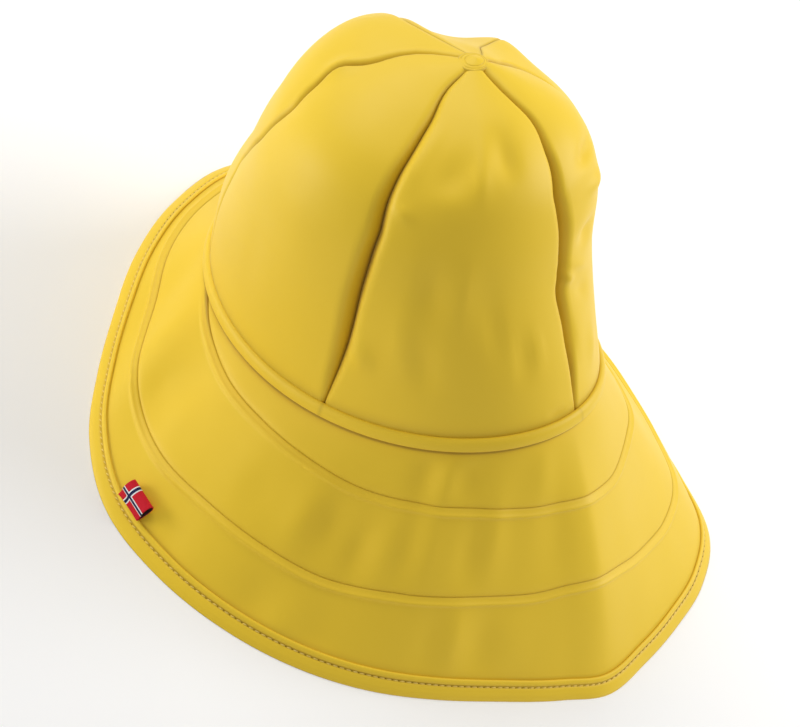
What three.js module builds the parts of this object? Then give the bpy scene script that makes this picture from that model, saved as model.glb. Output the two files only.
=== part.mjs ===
// Sou'wester rain hat: a six-panel crown on a wide brim of three welded bands, long at the back.
// Millimetres, +Z up. The wearer faces -Y, so the long back brim reaches out to +Y.
// The brim's bound edge lies flat on Z = 0 and the origin is under the middle of that edge.
import * as THREE from "three";

// Fabric and clearances
const WALL = 1.5;
const GAP = 0.3;

// Head opening: an oval on a plane that is higher at the back
const OPENING_LENGTH = 222;
const OPENING_WIDTH = 165;
const OPENING_HEIGHT = 66.6;
const OPENING_TILT = 17.9;
const OPENING_SIDE = -11.5;
const OPENING_FORWARD = 30;
const OPENING_CURL = 5.1;

// Crown, with the sizes that its folds' tables are shares of
const CROWN_HEIGHT = 150;
const CROWN_TOP_HOLE = 0.985;
const FURROW_DEPTH = 10;
const FURROW_WIDTH = 10;
const PUFF_HEIGHT = 10;
const FOLD_HEIGHT = 10;
const FOLD_SIZE = 20;

// Rolled band round the foot of the crown
const BAND_HEIGHT = 6.5;
const BAND_STANDS_OUT = 1.2;
const BAND_THICKNESS = 2.4;

// Button on top
const BUTTON_DIAMETER = 17;
const BUTTON_THICKNESS = 1.8;
const BUTTON_FOOT = 0.975;
const FOLDS_FADE = 0.08;

// Brim
const BRIM_REACH = 180;
const EDGE_OFF_SIDE = 1.5;
const EDGE_OFF_BACK = 2.2;
const RIPPLE_HEIGHT = 3;
const LET_IN_FROM = 0.5;

// Folded strip that binds the brim's edge
const BINDING_WIDTH = 10.5;
const BINDING_LEAF = 0.8;

// Woven loop tag on the wearer's left, behind the ear
const LABEL_LENGTH = 18;
const LABEL_REACH = 8.5;
const LABEL_LIFT = 2.4;
const LABEL_CLOTH = 0.6;
const LABEL_ANGLE = 102;
const LABEL_CLEAR = 0.6;

// Angles
const FULL_TURN = 360;
const HALF_TURN = 180;

// Mesh steps
const STEPS_ROUND = 72;
const STEPS_ACROSS_PANEL = 12;
const STEPS_UP_PANEL = 16;
const STEPS_ROUND_BUTTON = 24;

// Brim edge: angle from the back towards the wearer's left, reach from the origin as a share of BRIM_REACH
const EDGE = {
  columns: ["angle", "reach"],
  rows: [
    [-165, 0.989], [-150, 0.967], [-135, 0.922], [-120, 0.889], [-105, 0.867], [-90, 0.85], [-75, 0.856],
    [-62, 0.883], [-50, 0.961], [-40, 1.039], [-30, 1.039], [-20, 1.011], [-10, 0.992], [0, 0.983],
    [8, 0.928], [20, 0.867], [32, 0.839], [45, 0.831], [60, 0.833], [75, 0.844], [90, 0.864],
    [105, 0.883], [120, 0.861], [135, 0.828], [150, 0.828], [165, 0.872], [180, 0.933],
  ],
};

// Welds between the brim's bands, as shares of the way from the head opening to the edge
const WELDS = {
  columns: ["angle", "upper", "lower"],
  rows: [
    [-165, -0.1, 0.57], [-150, -0.05, 0.58], [-135, 0.0, 0.59], [-120, 0.08, 0.6], [-105, 0.15, 0.61],
    [-90, 0.21, 0.63], [-75, 0.26, 0.65], [-60, 0.29, 0.665], [-45, 0.29, 0.68], [-30, 0.275, 0.665],
    [-15, 0.283, 0.612], [0, 0.252, 0.553], [15, 0.245, 0.577], [30, 0.226, 0.579], [45, 0.22, 0.591],
    [60, 0.215, 0.615], [75, 0.184, 0.602], [90, 0.155, 0.596], [105, 0.13, 0.617], [120, 0.08, 0.63],
    [135, 0.0, 0.575], [150, -0.05, 0.55], [165, -0.1, 0.56], [180, -0.12, 0.56],
  ],
};
const UPPER_WELD_ENDS = 131;

// Ripples of the brim: where, half-width in degrees, height as a share of RIPPLE_HEIGHT
const RIPPLES = {
  columns: ["angle", "spread", "height"],
  rows: [
    [-2, 5, 1], [-28, 12, -0.7], [35, 10, 0.7], [58, 9, -0.7], [84, 10, 0.7], [112, 8, -0.8], [128, 7, 1],
    [146, 8, -0.7],
  ],
};

// Crown sections: how far along the rise, then height, sideways and backward shift as shares of the crown's
// height, then half-width and half-length as shares of the head opening's
const SECTIONS = {
  columns: ["along", "up", "side", "back", "width", "length"],
  rows: [
    [0.0, 0.045, 0.0, -0.003, 0.99, 0.99],
    [0.2, 0.24, -0.007, -0.027, 0.95, 0.93],
    [0.4, 0.467, -0.02, -0.033, 0.95, 0.81],
    [0.6, 0.68, -0.04, -0.033, 0.92, 0.74],
    [0.8, 0.833, -0.053, -0.033, 0.72, 0.62],
    [0.92, 0.937, -0.08, -0.02, 0.34, 0.39],
    [BUTTON_FOOT, 0.985, -0.113, 0.013, BUTTON_DIAMETER / OPENING_WIDTH, BUTTON_DIAMETER / OPENING_LENGTH],
    [1.0, 1.0, -0.12, 0.02, 0.0, 0.0],
  ],
};

// Crown seams: angle from the back at five stations up the rise, the furrow's depth there as a share of
// FURROW_DEPTH, its width on the lower-angle and higher-angle side as shares of FURROW_WIDTH, and how
// roundly each side rolls into it
const STATIONS = [0.0, 0.3, 0.6, 0.85, 1.0];
const SEAMS = {
  columns: [
    "a0", "a1", "a2", "a3", "a4", "d0", "d1", "d2", "d3", "d4",
    "before", "after", "rollBefore", "rollAfter",
  ],
  rows: [
    [-3, -3, 0, -7, 4, 0.2, 0.7, 1.0, 0.4, 0, 1.6, 0.5, 0.6, 1.0],
    [78, 72.5, 67.5, 69, 77, 0.1, 0.9, 0.7, 0.2, 0, 2.4, 1.0, 0.0, 1.0],
    [142, 143, 130, 133, 148, 0.1, 0.2, 0.4, 0.4, 0, 1.0, 1.0, 0.0, 1.0],
    [208, 208, 208, 208, 208, 0.1, 0.3, 0.3, 0.3, 0, 1.0, 1.0, 0.5, 0.5],
    [250, 254, 256, 258, 262, 0.1, 0.3, 0.3, 0.0, 0, 1.0, 1.0, 0.5, 0.5],
    [303, 312, 316, 296, 290, 0.1, 0.4, 0.3, 0.3, 0, 0.8, 1.0, 0.5, 0.5],
  ],
};

// Puffed middles of the six panels at the same stations, as shares of PUFF_HEIGHT
const PUFFS = {
  columns: ["p0", "p1", "p2", "p3", "p4"],
  rows: [
    [0, 0.2, 0.0, 0.2, 0], [0, 0.2, 0.3, 0.4, 0], [0, 0.2, -0.2, 0.0, 0], [0, 0.4, 0.4, -0.5, 0],
    [0, 0.3, 0.4, -0.1, 0], [0, 0.0, 0.2, 0.4, 0],
  ],
};

// Folds and dents of the crown: where, half-length up the crown and half-width round it as shares of
// FOLD_SIZE, and height outwards as a share of FOLD_HEIGHT
const FOLDS = {
  columns: ["angle", "along", "long", "wide", "out"],
  rows: [
    [195, 0.86, 1.2, 1.6, 0.4],
    [258, 0.82, 0.7, 0.7, 0.45],
  ],
};

const radians = (degrees) => (degrees * Math.PI) / HALF_TURN;
const wrapped = (degrees) => ((degrees % FULL_TURN) + FULL_TURN) % FULL_TURN;
const fromTo = (at, angle) => wrapped(angle - at + HALF_TURN) - HALF_TURN;
const column = (table, name) => table.rows.map((row) => row[table.columns.indexOf(name)]);

const bell = (x) => Math.exp(-(x ** 2));

// Smooth curve through a table's rows
function through(xs, ys, x) {
  const last = xs.length - 1;
  const slope = (k) => {
    const a = Math.max(k - 1, 0);
    const b = Math.min(k + 1, last);
    return (ys[b] - ys[a]) / (xs[b] - xs[a]);
  };
  let k = 0;
  while (k < last - 1 && x > xs[k + 1]) k += 1;
  const h = xs[k + 1] - xs[k];
  const u = (x - xs[k]) / h;
  const rise = (2 * u ** 3 - 3 * u ** 2 + 1) * ys[k] + (-2 * u ** 3 + 3 * u ** 2) * ys[k + 1];
  return rise + (u ** 3 - 2 * u ** 2 + u) * h * slope(k) + (u ** 3 - u ** 2) * h * slope(k + 1);
}

// The same round a full turn, with the angle in degrees
function around(table, name, angle) {
  const xs = column(table, "angle");
  const ys = column(table, name);
  const turned = wrapped(angle - xs[0]) + xs[0];
  const end = xs.length - 1;
  return through(
    [xs[end] - FULL_TURN, ...xs, xs[0] + FULL_TURN, xs[1] + FULL_TURN],
    [ys[end], ...ys, ys[0], ys[1]],
    turned,
  );
}

// Head opening's own axes
const tilt = radians(OPENING_TILT);
const openingCentre = new THREE.Vector3(OPENING_SIDE, -OPENING_FORWARD, OPENING_HEIGHT);
const openingBack = new THREE.Vector3(0, Math.cos(tilt), Math.sin(tilt));
const openingUp = new THREE.Vector3(0, -Math.sin(tilt), Math.cos(tilt));

function inOpening(side, back, up) {
  return openingCentre.clone()
    .add(new THREE.Vector3(side, 0, 0))
    .addScaledVector(openingBack, back)
    .addScaledVector(openingUp, up);
}

const curl = (angle) => OPENING_CURL * Math.cos(2 * radians(angle));

function openingPoint(angle, out = 0, up = 0) {
  const a = radians(angle);
  const side = (OPENING_WIDTH / 2 + out) * Math.sin(a);
  const back = (OPENING_LENGTH / 2 + out) * Math.cos(a);
  return inOpening(side, back, curl(angle) + up);
}

function edgePoint(angle) {
  const reach = BRIM_REACH * around(EDGE, "reach", angle);
  const side = reach * Math.sin(radians(angle)) - EDGE_OFF_SIDE;
  return new THREE.Vector3(side, reach * Math.cos(radians(angle)) - EDGE_OFF_BACK, 0);
}

// Brim, before ripples: straight lines from the head opening to the edge
const brimLine = (angle, share) => openingPoint(angle).lerp(edgePoint(angle), share);

function brimNormal(angle) {
  const along = edgePoint(angle).sub(openingPoint(angle));
  const round = edgePoint(angle + 1).sub(edgePoint(angle - 1));
  return round.cross(along).normalize();
}

const brimLength = (angle) => openingPoint(angle).distanceTo(edgePoint(angle));
const bindingTop = (angle) => 1 - BINDING_WIDTH / brimLength(angle);

// Ripples die out at the head opening and at the binding
function ripple(angle, share) {
  const heights = RIPPLES.rows.map(([at, spread, height]) => height * bell(fromTo(at, angle) / spread));
  const fade = Math.sin(Math.PI * Math.min(share / bindingTop(angle), 1));
  return RIPPLE_HEIGHT * fade * heights.reduce((sum, height) => sum + height, 0);
}

// Point of a brim band: flush with the head opening, let in under the binding at the edge
function brimPoint(angle, share, depth = 0) {
  const letIn = (BINDING_LEAF + GAP) * Math.min(share / LET_IN_FROM, 1);
  return brimLine(angle, share).addScaledVector(brimNormal(angle), ripple(angle, share) - letIn - depth);
}

// The same point slid along the brim's line to a height above the floor
function slide(point, angle, height) {
  const up = openingPoint(angle).sub(edgePoint(angle));
  return point.clone().addScaledVector(up, (height - point.z) / up.z);
}

// Crown, before folds
function crownSection(along) {
  const xs = column(SECTIONS, "along");
  const value = (name) => through(xs, column(SECTIONS, name), along);
  return {
    up: value("up") * CROWN_HEIGHT,
    side: value("side") * CROWN_HEIGHT,
    back: value("back") * CROWN_HEIGHT,
    halfWidth: (value("width") * OPENING_WIDTH) / 2,
    halfLength: (value("length") * OPENING_LENGTH) / 2,
  };
}

function smoothCrown(angle, along) {
  const s = crownSection(along);
  const a = radians(angle);
  return inOpening(
    s.side + s.halfWidth * Math.sin(a),
    s.back + s.halfLength * Math.cos(a),
    s.up + curl(angle) * (1 - along),
  );
}

function crownNormal(angle, along) {
  const at = Math.min(along, 0.97);
  const up = smoothCrown(angle, at + 0.01).sub(smoothCrown(angle, at - 0.01));
  const round = smoothCrown(angle + 1, at).sub(smoothCrown(angle - 1, at));
  const steep = round.cross(up).normalize().negate();
  const flat = Math.max(0, (along - 0.9) / 0.1);
  return steep.lerp(openingUp, Math.min(flat, 1)).normalize();
}

const seamRow = (seam) => SEAMS.rows[seam % SEAMS.rows.length];
const stationed = (row, first, along) => through(STATIONS, row.slice(first, first + STATIONS.length), along);
const seamAngle = (seam, along) => {
  const turns = Math.floor(seam / SEAMS.rows.length);
  return stationed(seamRow(seam), SEAMS.columns.indexOf("a0"), along) + turns * FULL_TURN;
};

// Depth of a seam's furrow at a distance from it, negative towards lower angles
function furrow(seam, distance, along) {
  const side = distance < 0 ? "before" : "after";
  const roll = column(SEAMS, distance < 0 ? "rollBefore" : "rollAfter")[seam % SEAMS.rows.length];
  const width = FURROW_WIDTH * column(SEAMS, side)[seam % SEAMS.rows.length];
  const t = Math.min(Math.abs(distance) / width, 1);
  const rolled = 1 - Math.sqrt(t * (2 - t));
  const eased = (1 + Math.cos(Math.PI * t)) / 2;
  const depth = FURROW_DEPTH * stationed(seamRow(seam), SEAMS.columns.indexOf("d0"), along);
  return depth * (roll * rolled + (1 - roll) * eased);
}

function folds(angle, along, radius) {
  const heights = FOLDS.rows.map(([at, up, long, wide, out]) => {
    const round = (radians(fromTo(at, angle)) * radius) / (FOLD_SIZE * wide);
    const rising = ((along - up) * CROWN_HEIGHT) / (FOLD_SIZE * long);
    return out * bell(round) * bell(rising);
  });
  const fade = Math.min(Math.max((BUTTON_FOOT - along) / FOLDS_FADE, 0), 1);
  return FOLD_HEIGHT * fade * heights.reduce((sum, height) => sum + height, 0);
}

// Point of a panel between two seams: share runs from the lower-angle seam to the next
function crownPoint(panel, share, along) {
  const from = seamAngle(panel, along);
  const to = seamAngle(panel + 1, along);
  const s = crownSection(along);
  const radius = (s.halfWidth + s.halfLength) / 2;
  const slack = (GAP / 2 / radius) * (HALF_TURN / Math.PI);
  const angle = from + slack + (to - from - 2 * slack) * share;
  const fromSeam = radians(angle - from) * radius;
  const toSeam = radians(to - angle) * radius;
  const swell = PUFF_HEIGHT * through(STATIONS, PUFFS.rows[panel], along) * Math.sin(Math.PI * share);
  const sunk = furrow(panel, fromSeam, along) + furrow(panel + 1, -toSeam, along);
  const lift = swell - sunk + folds(angle, along, radius);
  return smoothCrown(angle, along).addScaledVector(crownNormal(angle, along), lift);
}

// The panel's inner face, a wall's thickness in from the folded outer one, kept on its own side of each seam
function crownInside(panel, share, along) {
  const step = 0.01;
  const u = Math.min(Math.max(share, step), 1 - step);
  const v = Math.min(Math.max(along, step), CROWN_TOP_HOLE - step);
  const across = crownPoint(panel, u + step, v).sub(crownPoint(panel, u - step, v)).normalize();
  const up = crownPoint(panel, u, v + step).sub(crownPoint(panel, u, v - step));
  const inwards = across.clone().cross(up).normalize();
  const side = share < 0.5 ? 1 : -1;
  const seam = share < 0.5 ? panel : panel + 1;
  const straight = crownNormal(seamAngle(seam, v), v).negate();
  const strays = side * across.dot(inwards) < side * across.dot(straight);
  return crownPoint(panel, share, along).addScaledVector(strays ? straight : inwards, WALL);
}

// A closed skin from two faces given on the same grid, with one vertex at each place
function solid(outer, inner, steps, rises, closed) {
  const keys = new Map();
  const positions = [];
  const vertex = (point) => {
    const key = point.toArray().map((value) => Math.round(value * 1e5)).join(",");
    if (!keys.has(key)) {
      keys.set(key, positions.length / 3);
      positions.push(point.x, point.y, point.z);
    }
    return keys.get(key);
  };
  const face = (point) => steps.map((u) => rises.map((v) => vertex(point(u, v))));
  const out = face(outer);
  const back = face(inner);
  const triangles = [];
  const triangle = (a, b, c) => {
    if (a !== b && b !== c && c !== a) triangles.push(a, b, c);
  };
  const quad = (a, b, c, d) => {
    triangle(a, b, c);
    triangle(a, c, d);
  };
  const columns = steps.length;
  const top = rises.length - 1;
  const wraps = closed ? columns : columns - 1;
  for (let i = 0; i < wraps; i += 1) {
    const j = (i + 1) % columns;
    for (let k = 0; k < top; k += 1) {
      quad(out[i][k], out[j][k], out[j][k + 1], out[i][k + 1]);
      quad(back[i][k], back[i][k + 1], back[j][k + 1], back[j][k]);
    }
    quad(back[i][0], back[j][0], out[j][0], out[i][0]);
    quad(out[i][top], out[j][top], back[j][top], back[i][top]);
  }
  if (!closed) {
    const end = columns - 1;
    for (let k = 0; k < top; k += 1) {
      quad(out[0][k], out[0][k + 1], back[0][k + 1], back[0][k]);
      quad(out[end][k + 1], out[end][k], back[end][k], back[end][k + 1]);
    }
  }
  const geometry = new THREE.BufferGeometry();
  geometry.setAttribute("position", new THREE.Float32BufferAttribute(positions, 3));
  geometry.setIndex(triangles);
  return facingOut(geometry);
}

// Turns every triangle round if the solid's volume comes out negative
function facingOut(geometry) {
  const at = geometry.getAttribute("position");
  const index = geometry.getIndex().array;
  const corner = (k) => new THREE.Vector3().fromBufferAttribute(at, index[k]);
  let volume = 0;
  for (let k = 0; k < index.length; k += 3) volume += corner(k).dot(corner(k + 1).cross(corner(k + 2)));
  if (volume < 0) {
    for (let k = 0; k < index.length; k += 3) [index[k], index[k + 1]] = [index[k + 1], index[k]];
  }
  geometry.computeVertexNormals();
  return geometry;
}

const evenly = (count, from, to) => {
  const step = (to - from) / count;
  return Array.from({ length: count + 1 }, (_, k) => from + step * k);
};
const turn = evenly(STEPS_ROUND, 0, FULL_TURN).slice(0, STEPS_ROUND);
const closer = evenly(STEPS_ACROSS_PANEL, 0, 1).map((v) => (1 - Math.cos(Math.PI * v)) / 2);

// Materials: coated cloth, woven tape, and the label
const coated = new THREE.MeshStandardMaterial({ color: 0xe0c048, roughness: 0.55, metalness: 0 });
const woven = new THREE.MeshStandardMaterial({ color: 0xc02a35, roughness: 0.9, metalness: 0 });

const hat = new THREE.Group();
hat.name = "sou_wester_hat";

function add(name, geometry, material) {
  const mesh = new THREE.Mesh(geometry, material);
  mesh.name = name;
  hat.add(mesh);
}

// Six crown panels
const rise = evenly(STEPS_UP_PANEL, 0, CROWN_TOP_HOLE);
for (let panel = 0; panel < SEAMS.rows.length; panel += 1) {
  const outer = (u, v) => crownPoint(panel, u, v);
  const inner = (u, v) => crownInside(panel, u, v);
  add(`crown_panel_${panel + 1}`, solid(outer, inner, closer, rise, false), coated);
}

// Button: follows the top of the crown, thicker in the middle, with one pressed ring. The rows run from its
// rim to its middle, with the height as a share of BUTTON_THICKNESS
const BUTTON_PROFILE = {
  columns: ["inwards", "height"],
  rows: [[0, 0.35], [0.12, 0.85], [0.26, 1], [0.38, 0.5], [0.5, 1], [1, 1.1]],
};
const buttonShares = column(BUTTON_PROFILE, "inwards");
const buttonUnder = (angle, share) => {
  const along = BUTTON_FOOT + (1 - BUTTON_FOOT) * share;
  return smoothCrown(angle, along).addScaledVector(openingUp, GAP * 2);
};
const buttonTop = (angle, share) => {
  const height = column(BUTTON_PROFILE, "height")[buttonShares.indexOf(share)];
  return buttonUnder(angle, share).addScaledVector(openingUp, BUTTON_THICKNESS * height);
};
const buttonTurn = evenly(STEPS_ROUND_BUTTON, 0, FULL_TURN).slice(0, STEPS_ROUND_BUTTON);
add("crown_button", solid(buttonTop, buttonUnder, buttonTurn, buttonShares, true), coated);

// Band round the foot of the crown, rolled outwards: level as a share of its height, and how far it stands
// out as a share of BAND_STANDS_OUT
const BAND_ROLL = {
  columns: ["level", "out"],
  rows: [[0, 0.45], [0.33, 0.95], [0.67, 0.95], [1, 0.45]],
};
const bandLevels = column(BAND_ROLL, "level");
const bandOut = (level) => BAND_STANDS_OUT * column(BAND_ROLL, "out")[bandLevels.indexOf(level)];
const bandUp = (level) => level * (BAND_HEIGHT - GAP);
const bandOuter = (angle, level) => openingPoint(angle, bandOut(level), bandUp(level));
const bandInner = (angle, level) => openingPoint(angle, bandOut(level) - BAND_THICKNESS, bandUp(level));
add("crown_band", solid(bandOuter, bandInner, turn, bandLevels, true), coated);

// Brim bands, parted at the welds
const upperWeld = (angle) => Math.max(around(WELDS, "upper", angle), 0);
const lowerWeld = (angle) => around(WELDS, "lower", angle);
const brimStart = (angle) => (1.5 * GAP) / brimLength(angle);

// The last row of the outer band is cut level, just above the fold of the binding
function brimBand(sharesAt, angles, closed, meetsBinding = false) {
  const shares = new Map(angles.map((angle) => [angle, sharesAt(angle)]));
  const rows = sharesAt(0).map((_, row) => row);
  const last = rows.length - 1;
  const at = (angle, row, depth) => {
    const point = brimPoint(angle, shares.get(angle)[row], depth);
    return meetsBinding && row === last ? slide(point, angle, BINDING_LEAF + GAP) : point;
  };
  return solid((angle, row) => at(angle, row, 0), (angle, row) => at(angle, row, WALL), angles, rows, closed);
}
const inThree = (from, to) => [from, from + (to - from) / 3, to - (to - from) / 3, to];

const halfGap = (angle) => GAP / 2 / brimLength(angle);
const fromBack = (angle) => Math.abs(fromTo(0, angle));
const innerAngles = evenly(STEPS_ROUND * 0.7, -UPPER_WELD_ENDS, UPPER_WELD_ENDS);
const innerEnd = (angle) => {
  const shortest = brimStart(angle) + 2 * halfGap(angle);
  return Math.max(upperWeld(angle) - halfGap(angle), shortest);
};
const middleStart = (angle) => {
  const beside = fromBack(angle) < UPPER_WELD_ENDS + 2;
  return beside ? innerEnd(angle) + 2 * halfGap(angle) : brimStart(angle);
};
const middleEnd = (angle) => lowerWeld(angle) - halfGap(angle);
const outerStart = (angle) => lowerWeld(angle) + halfGap(angle);
const innerShares = (angle) => inThree(brimStart(angle), innerEnd(angle));
const middleShares = (angle) => inThree(middleStart(angle), middleEnd(angle));
const outerShares = (angle) => [...inThree(outerStart(angle), bindingTop(angle)), 1];
add("brim_inner", brimBand(innerShares, innerAngles, false), coated);
add("brim_middle", brimBand(middleShares, turn, true), coated);
add("brim_outer", brimBand(outerShares, turn, true, true), coated);

// Binding: a strip folded over the brim's edge, level where it rests
function bindingSection(angle) {
  const edge = edgePoint(angle);
  const up = openingPoint(angle).sub(edge).normalize();
  const normal = brimNormal(angle);
  const at = (rise, depth) => edge.clone().addScaledVector(up, rise).addScaledVector(normal, -depth);
  const slot = WALL + 2 * GAP;
  const inside = 2 * BINDING_LEAF + slot;
  return [
    edge.clone(),
    at(BINDING_WIDTH, 0),
    at(BINDING_WIDTH, BINDING_LEAF),
    slide(at(0, BINDING_LEAF), angle, BINDING_LEAF),
    slide(at(0, BINDING_LEAF + slot), angle, BINDING_LEAF),
    at(BINDING_WIDTH, BINDING_LEAF + slot),
    at(BINDING_WIDTH, inside),
    slide(at(0, inside), angle, 0),
  ];
}
const sections = new Map(turn.map((angle) => [angle, bindingSection(angle)]));
const bindingOuter = (angle, corner) => sections.get(angle)[corner];
const bindingInner = (angle, corner) => sections.get(angle)[7 - corner];
add("edge_binding", solid(bindingOuter, bindingInner, turn, [0, 1, 2, 3], true), coated);

// Label: a woven tape folded into a loop, its ends under the binding
function labelFrame() {
  const edge = edgePoint(LABEL_ANGLE);
  const up = openingPoint(LABEL_ANGLE).sub(edge).normalize();
  const normal = brimNormal(LABEL_ANGLE);
  const along = up.clone().cross(normal).normalize();
  const start = edge.clone().addScaledVector(up, BINDING_WIDTH + LABEL_CLEAR).addScaledVector(normal, GAP);
  return new THREE.Matrix4().makeBasis(up, normal, along).setPosition(start);
}
// The middle of the tape from the binding out and back, as shares of the label's reach and lift
const TAPE = {
  columns: ["reach", "lift"],
  rows: [[0, 0], [0.85, 0.05], [1, 0.5], [0.85, 1], [0, 0.65]],
};
const tapeMiddle = TAPE.rows.map(([reach, lift]) => new THREE.Vector2(
  reach * (LABEL_REACH - LABEL_CLOTH),
  lift * (LABEL_LIFT - LABEL_CLOTH) + LABEL_CLOTH / 2,
));
const tapeSide = (offset) => tapeMiddle.map((point, k) => {
  const before = tapeMiddle[Math.max(k - 1, 0)];
  const after = tapeMiddle[Math.min(k + 1, tapeMiddle.length - 1)];
  const run = after.clone().sub(before).normalize();
  return new THREE.Vector2(point.x + run.y * offset, point.y - run.x * offset);
});
const tape = new THREE.Shape([...tapeSide(LABEL_CLOTH / 2), ...tapeSide(-LABEL_CLOTH / 2).reverse()]);
const loop = new THREE.ExtrudeGeometry(tape, { depth: LABEL_LENGTH, bevelEnabled: false });
loop.translate(0, 0, -LABEL_LENGTH / 2).applyMatrix4(labelFrame());
add("flag_label", loop, woven);

export default hat;
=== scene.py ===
"""Yellow sou'wester rain hat: a six-panel folded crown with a button, a rolled band, a brim of three
welded bands bound and stitched at its edge, and a small woven label. Metres, +Z up, back brim to +Y."""

import math

import bmesh
import bpy
import numpy as np
from mathutils import Matrix, Vector


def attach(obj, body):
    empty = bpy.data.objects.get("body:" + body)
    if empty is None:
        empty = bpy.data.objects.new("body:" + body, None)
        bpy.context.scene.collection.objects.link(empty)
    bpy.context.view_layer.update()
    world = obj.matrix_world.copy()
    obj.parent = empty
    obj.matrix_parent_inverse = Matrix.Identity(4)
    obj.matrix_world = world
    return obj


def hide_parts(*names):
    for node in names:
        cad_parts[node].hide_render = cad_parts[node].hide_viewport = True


bl_info = {
    "name": "Sou'wester hat",
    "version": (1, 0, 0),
    "blender": (4, 5, 0),
    "location": "3D View > Sidebar > Hat",
    "description": "Builds a coated rain hat round its packed frame, with its studio",
    "category": "Object",
}

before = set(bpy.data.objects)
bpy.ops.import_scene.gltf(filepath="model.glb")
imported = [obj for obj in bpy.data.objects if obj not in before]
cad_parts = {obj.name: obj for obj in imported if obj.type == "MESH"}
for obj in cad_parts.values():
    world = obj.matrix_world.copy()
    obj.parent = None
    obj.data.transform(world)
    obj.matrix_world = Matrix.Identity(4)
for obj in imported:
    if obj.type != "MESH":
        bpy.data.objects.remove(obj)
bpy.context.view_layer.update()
MM = 1000

# Tables: a row for each section, weld station, seam, fold or wave. Angles are in degrees from the back
# towards the wearer's left; lengths are shares of a named size unless a column says mm.
EDGE = {
    "columns": ("angle", "reach"),
    "rows": (
        (-165, 0.989), (-150, 0.967), (-135, 0.922), (-120, 0.889), (-105, 0.867), (-90, 0.85),
        (-75, 0.856), (-62, 0.883), (-50, 0.961), (-40, 1.039), (-30, 1.039), (-20, 1.011), (-10, 0.992),
        (0, 0.983),
        (8, 0.928), (20, 0.867), (32, 0.839), (45, 0.831), (60, 0.833), (75, 0.844), (90, 0.864),
        (105, 0.883), (120, 0.861), (135, 0.828), (150, 0.828), (165, 0.872), (180, 0.933),
    ),
}
WELDS = {
    "columns": ("angle", "upper", "lower"),
    "rows": (
        (-165, -0.1, 0.57), (-150, -0.05, 0.58), (-135, 0.0, 0.59), (-120, 0.08, 0.6), (-105, 0.15, 0.61),
        (-90, 0.21, 0.63), (-75, 0.26, 0.65), (-60, 0.29, 0.665), (-45, 0.29, 0.68), (-30, 0.275, 0.665),
        (-15, 0.283, 0.612), (0, 0.252, 0.553), (15, 0.245, 0.577), (30, 0.226, 0.579), (45, 0.22, 0.591),
        (60, 0.215, 0.615), (75, 0.184, 0.602), (90, 0.155, 0.596), (105, 0.13, 0.617), (120, 0.08, 0.63),
        (135, 0.0, 0.575), (150, -0.05, 0.55), (165, -0.1, 0.56), (180, -0.12, 0.56),
    ),
}
RIPPLES = {
    "columns": ("angle", "spread", "height", "sharp"),
    "rows": (
        (-1, 12, 1.5, 1), (-28, 12, -0.7, 0), (35, 10, 0.7, 0), (58, 9, -0.7, 0), (84, 10, 0.7, 0),
        (112, 8, -0.8, 0), (128, 7, 1, 0), (146, 8, -0.7, 0),
    ),
}
# Roundness of the crest of a sharp ripple, as a share of its spread
CREASE = 0.07
SECTIONS = {
    "columns": ("along", "up", "side", "back", "width", "length"),
    "rows": (
        (0.0, 0.045, 0.0, -0.003, 0.99, 0.99),
        (0.2, 0.24, -0.007, -0.027, 0.95, 0.93),
        (0.4, 0.467, -0.02, -0.033, 0.95, 0.81),
        (0.6, 0.68, -0.04, -0.033, 0.92, 0.74),
        (0.8, 0.833, -0.053, -0.033, 0.72, 0.62),
        (0.92, 0.937, -0.08, -0.02, 0.34, 0.39),
        (0.975, 0.985, -0.12, 0.017, 0.103, 0.0766),
        (1.0, 1.0, -0.13, 0.025, 0.0, 0.0),
    ),
}
# Paths of the crown's seams: pairs of share of the rise and angle, joined by straight runs, whose corners
# are rounded by averaging over the steps of SEAM_BLUR
SEAM_PATHS = (
    (
        (0.0, -3), (0.2, -3), (0.29, -2.5), (0.38, -1), (0.47, -2.7), (0.57, -2), (0.72, -0.7),
        (0.81, -3.5), (0.86, -5), (0.9, -10), (0.93, -9.5), (0.96, 0), (1.0, 8),
    ),
    (
        (0.0, 78), (0.3, 72.5), (0.48, 69.5), (0.6, 68), (0.72, 68.8), (0.85, 69), (0.92, 71), (0.945, 76),
        (0.965, 78), (1.0, 62),
    ),
    (
        (0.0, 142), (0.38, 146), (0.57, 131), (0.68, 128), (0.76, 126.5), (0.84, 130.5), (0.865, 134.5),
        (0.91, 128), (0.94, 133), (0.965, 160), (1.0, 172),
    ),
    ((0.0, 208), (1.0, 208)),
    ((0.0, 250), (0.3, 254), (0.6, 256), (0.85, 259), (0.92, 261), (1.0, 261)),
    (
        (0.0, 303), (0.3, 312), (0.48, 315), (0.6, 316), (0.72, 304), (0.85, 288), (0.91, 279), (0.95, 284),
        (1.0, 290),
    ),
)
SEAM_BLUR = (-0.018, -0.009, 0, 0.009, 0.018)
# Length of the crown's cloth for each length of its height
CROWN_SLOPE = 1.17
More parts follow.
